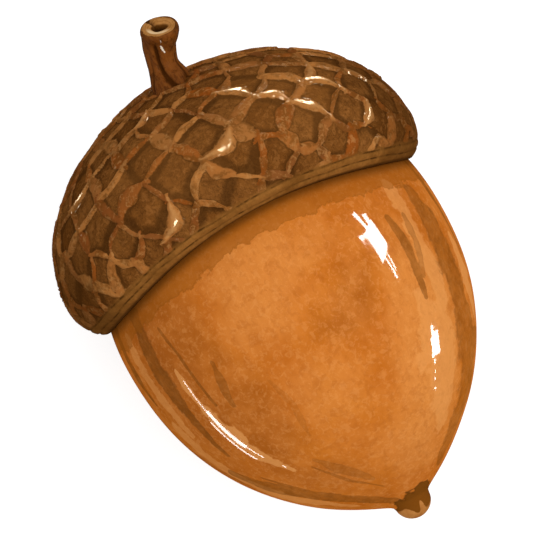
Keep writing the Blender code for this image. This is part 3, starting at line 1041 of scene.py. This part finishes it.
def stalk_material(mottle, grain, ragged):
    material, tree, shader, place = new_material("stalk_wood", 0.12, 1.5)
    wash = cloudy(tree, mottle, place, 1.6, 0.8)
    cloud = cloudy(tree, mottle, place, 0.5, 1.2, 6.0)
    fibre = fibrous(tree, grain, place, 0.18, 9.0)
    bark = blend(tree, wash, colour("54290a"), colour("743e13"))
    bark = over(tree, bark, fibre, "8c5220", 0.5)
    bark = over(tree, bark, between(tree, cloud, 0.5, 1.0), "422308", 0.6)
    # Painted shade: darker in the bark's furrows
    groove = between(tree, mark(tree, "groove"), 0.25, 0.8, 0.0, 0.85)
    bark = over(tree, bark, groove, "361a05")
    # Painted highlight: a pale streak on the bark where a glint would be, since the cup would block a lamp
    # mirrored there
    painted_glint = torn(tree, ragged, mark(tree, "painted_glint"), cloud, 1.4)["Mask"]
    bark = over(tree, bark, painted_glint, "f8ead2")
    ring = mark(tree, "ring")
    wood = blend(tree, wash, colour("a06b35"), colour("ba8349"))
    turns = maths(tree, "SINE", maths(tree, "MULTIPLY_ADD", ring, 42.0, times(tree, cloud, 3.0)))
    wood = over(tree, wood, between(tree, turns, 0.2, 1.0, 0.0, 0.45), "80501f")
    # Painted highlight: a pale band on the front lip of the pith's hollow, on the side that faces up
    near_hole = between(tree, gap(tree, ring, 0.62), 0.16, 0.04)
    lip = times(tree, near_hole, between(tree, mark(tree, "face_front"), 0.2, 0.9, 0.0, 0.9))
    wood = over(tree, wood, lip, "e3c192")
    end = torn(tree, ragged, mark(tree, "cut_end"), cloud, 0.06, 0.02)
    skin = blend(tree, end["Mask"], bark, wood)
    skin = over(tree, skin, end["Outline"], "4a2708", 0.6)
    # Painted shade: darker inside the pith's hollow under its lip, darkest in its depth
    skin = over(tree, skin, between(tree, ring, 0.5, 0.42), "5a3410")
    skin = over(tree, skin, between(tree, ring, 0.4, 0.3), "2f1805")
    skin = over(tree, skin, between(tree, mark(tree, "split"), 0.3, 0.9, 0.0, 0.8), "4a2a0c")
    dull = maths(tree, "MAXIMUM", end["Mask"], groove)
    polish = maths(tree, "SUBTRACT", 0.8, dull, clamp=True)
    relief = maths(tree, "MULTIPLY_ADD", fibre, 0.8, cloud)
    feed(tree, shader, skin, between(tree, cloud, 0.0, 1.0, 0.4, 0.6), polish, relief, 0.4, 0.0001)
    return material


# ---------------- floor, camera and light


def make_floor():
    mesh = bpy.data.meshes.new("floor")
    half = 6.0
    corners = [(-half, -half, 0), (half, -half, 0), (half, half, 0), (-half, half, 0)]
    mesh.from_pydata(corners, [], [(0, 1, 2, 3)])
    floor = put("floor", mesh)
    floor.location.z = -0.00002
    material = bpy.data.materials.new("pale_floor")
    material.use_nodes = True
    shader = material.node_tree.nodes["Principled BSDF"]
    finish = {"Roughness": 1.0, "Specular IOR Level": 0.0, "Emission Strength": 0.7}
    for name, value in finish.items():
        shader.inputs[name].default_value = value
    shader.inputs["Base Color"].default_value = (0.5, 0.5, 0.5, 1.0)
    shader.inputs["Emission Color"].default_value = (1.0, 1.0, 1.0, 1.0)
    mesh.materials.append(material)
    floor.visible_glossy = False
    floor.visible_diffuse = False
    floor.visible_shadow = False


def view_axes():
    """The camera's right, up and backward directions in the acorn's frame."""
    back = Vector((math.cos(VIEW_TILT), 0.0, math.sin(VIEW_TILT)))
    stalkward = Vector((-math.sin(VIEW_TILT), 0.0, math.cos(VIEW_TILT)))
    side = Vector((0.0, 1.0, 0.0))
    right = side * math.cos(VIEW_ROLL) - stalkward * math.sin(VIEW_ROLL)
    up = stalkward * math.cos(VIEW_ROLL) + side * math.sin(VIEW_ROLL)
    return right, up, back


def make_camera():
    data = bpy.data.cameras.new("camera")
    data.sensor_width = 36.0
    data.lens = data.sensor_width * CAMERA_REACH / VIEW_WIDTH
    camera = put("camera", data)
    right, up, back = view_axes()
    target = right * VIEW_OFF[0] + up * VIEW_OFF[1]
    turn = AXES.to_3x3().normalized() @ Matrix((right, up, back)).transposed()
    place = AXES @ (target + back * CAMERA_REACH)
    camera.matrix_world = Matrix.Translation(place) @ turn.to_4x4()
    data.clip_start = 0.01
    data.clip_end = 20.0
    bpy.context.scene.camera = camera
    return camera


def add_lamp(name, place, right, back, size, radiance, tint):
    """A rectangular lamp that shines away from back. radiance is how bright its face looks."""
    data = bpy.data.lights.new(name, "AREA")
    data.shape = "RECTANGLE"
    data.size, data.size_y = size
    data.energy = radiance * math.pi * size[0] * size[1]
    data.color = tint
    lamp = put(name, data)
    back = back.normalized()
    right = (right - back * right.dot(back)).normalized()
    turn = Matrix((right, back.cross(right), back)).transposed()
    lamp.matrix_world = Matrix.Translation(place) @ turn.to_4x4()
    lamp.visible_camera = False
    return lamp


def make_key():
    """The main soft light, high on the +Y side."""
    aim = AXES @ Vector((0.0, 0.0, 0.0))
    from_side = Vector((0.22, 0.36, 0.9)).normalized()
    lamp = add_lamp("key", aim + from_side * 0.9, Vector((1.0, 0.0, 0.0)), from_side, (1.0, 1.0), 1.9, CLEAR)
    lamp.visible_glossy = False


def mirror_place(camera, skin, reach):
    """Where a lamp must stand, reach millimetres off, for the camera to see it mirrored on a skin."""
    place, out = skin
    to_camera = (AXES.inverted() @ camera.matrix_world.translation - place).normalized()
    mirrored = 2 * out.dot(to_camera) * out - to_camera
    return AXES @ (place + mirrored * reach)


def add_glint(receiver, name, on_skin, middle, right, size, radiance, tint):
    """A lamp that faces a place on one piece's skin, and is seen only as a glint there."""
    lamp = add_lamp(name, middle, right, middle - AXES @ on_skin, size, radiance, tint)
    lamp.visible_diffuse = False
    lamp.light_linking.receiver_collection = receiver


# Glints: angle and height of the top and of the bottom, then the lamp's width and distance in millimetres
# and how bright it looks
NUT_GLINTS = (
    ((31.3, -0.8), (32.8, -2.3), 8.0, 150.0, 27.0),
    ((35.4, -1.2), (35.0, -2.3), 8.0, 150.0, 27.0),
    ((33.4, -2.1), (34.8, -4.3), 38.0, 150.0, 27.0),
    ((33.3, -4.3), (34.4, -6.0), 3.0, 150.0, 27.0),
    ((35.4, -4.3), (35.2, -5.5), 3.0, 150.0, 27.0),
    ((41.6, -10.1), (41.2, -10.7), 3.0, 55.0, 27.0),
    ((40.8, -10.6), (40.2, -11.9), 8.0, 55.0, 27.0),
    ((39.4, -12.1), (39.2, -12.3), 1.0, 55.0, 27.0),
    ((38.7, -12.7), (38.6, -12.85), 1.0, 55.0, 27.0),
    ((38.0, -13.2), (37.9, -13.35), 1.0, 55.0, 27.0),
    ((37.4, -13.8), (37.3, -13.9), 0.8, 55.0, 27.0),
    ((-48.0, -4.9), (-47.6, -7.6), 1.0, 55.0, 14.0),
    ((-47.4, -7.4), (-45.2, -10.8), 3.2, 55.0, 16.0),
    ((-49.8, -8.2), (-46.8, -11.9), 1.4, 55.0, 14.0),
    ((-44.9, -10.8), (-43.2, -12.0), 1.0, 55.0, 14.0),
    ((-40.2, -13.1), (-39.7, -13.3), 1.0, 55.0, 14.0),
)


def make_nut_glints(camera, nut):
    """Long narrow lamps, each mirrored from one place on the nut down to another."""
    receiver = only(nut)
    for number, (top, bottom, width, reach, radiance) in enumerate(NUT_GLINTS):
        skins = [skin_place(nut_outline(), *place) for place in (top, bottom)]
        start, end = (mirror_place(camera, skin, reach) for skin in skins)
        on_skin = (skins[0][0] + skins[1][0]) / 2
        size = ((end - start).length, width * UNIT)
        name = f"nut_glint_{number}"
        add_glint(receiver, name, on_skin, (start + end) / 2, end - start, size, radiance, CLEAR)


def only(piece):
    """A collection of one piece, for the lamps that only it mirrors."""
    alone = bpy.data.collections.new("only_" + piece.name)
    alone.objects.link(piece)
    return alone


def spread(piece, name, kind, width):
    """A mark's values on a piece, one row for each vertex."""
    values = np.empty(len(piece.data.vertices) * width)
    piece.data.attributes[name].data.foreach_get(kind, values)
    return values.reshape(-1, width)


def out_of(piece, number):
    """A vertex's place on a piece, and the direction out of the skin there, both in the acorn's frame."""
    vertex = piece.data.vertices[int(number)]
    to_frame = AXES.inverted()
    return to_frame @ vertex.co, (to_frame.to_3x3() @ vertex.normal).normalized()


def make_cup_sparks(camera, cap):
    """One fleck of light on each polished lip that the camera sees from above."""
    places = spread(cap, "place", "vector", 3)
    on_crest = [spread(cap, label, "value", 1)[:, 0] for label in ("ridge_depth", "ridge_polish")]
    off_crest = 1 - on_crest[0] * on_crest[1]
    edges = scale_edges(scale_middles())
    receiver = only(cap)
    to_camera = view_axes()[2]
    side = Vector((0.0, 1.0, 0.0))
    for number in sorted(lip_edges(edges)):
        pair, start, end = edges[number]
        far = np.linalg.norm(places - np.array(start + end) / 2, axis=1)
        skin = out_of(cap, np.argmin(far + off_crest))
        if skin[1].dot(to_camera) > 0.45:
            middle = mirror_place(camera, skin, SPARK_REACH)
            name = f"lip_spark_{number}"
            add_glint(receiver, name, skin[0], middle, side, (SPARK_WIDTH * UNIT,) * 2, 50.0, CREAM)


def make_light(camera, nut, cap):
    make_key()
    make_nut_glints(camera, nut)
    make_cup_sparks(camera, cap)
    world = bpy.data.worlds.new("room")
    bpy.context.scene.world = world
    world.use_nodes = True
    tree = world.node_tree
    tree.nodes.clear()
    path = add(tree, "LightPath").outputs
    seen = times(tree, path["Is Camera Ray"], 0.7)
    mirrored = times(tree, path["Is Glossy Ray"], -0.65)
    strength = maths(tree, "ADD", maths(tree, "ADD", 0.68, seen), mirrored)
    sky = add(tree, "Background", {"Color": (1.0, 1.0, 1.0, 1.0), "Strength": strength})
    add(tree, "OutputWorld", {"Surface": sky.outputs[0]})


def main():
    bpy.context.scene.view_settings.view_transform = "Standard"
    mottle, grain, ragged = mottle_group(), grain_group(), ragged_group()
    nut = make_nut(nut_material(mottle, grain, ragged))
    stand_for(nut, "nut")
    cap = make_cap(cup_material(mottle, grain, ragged))
    stand_for(cap, "cap")
    stalk = make_stalk(stalk_material(mottle, grain, ragged))
    stand_for(stalk, "stalk")
    make_floor()
    make_light(make_camera(), nut, cap)


main()
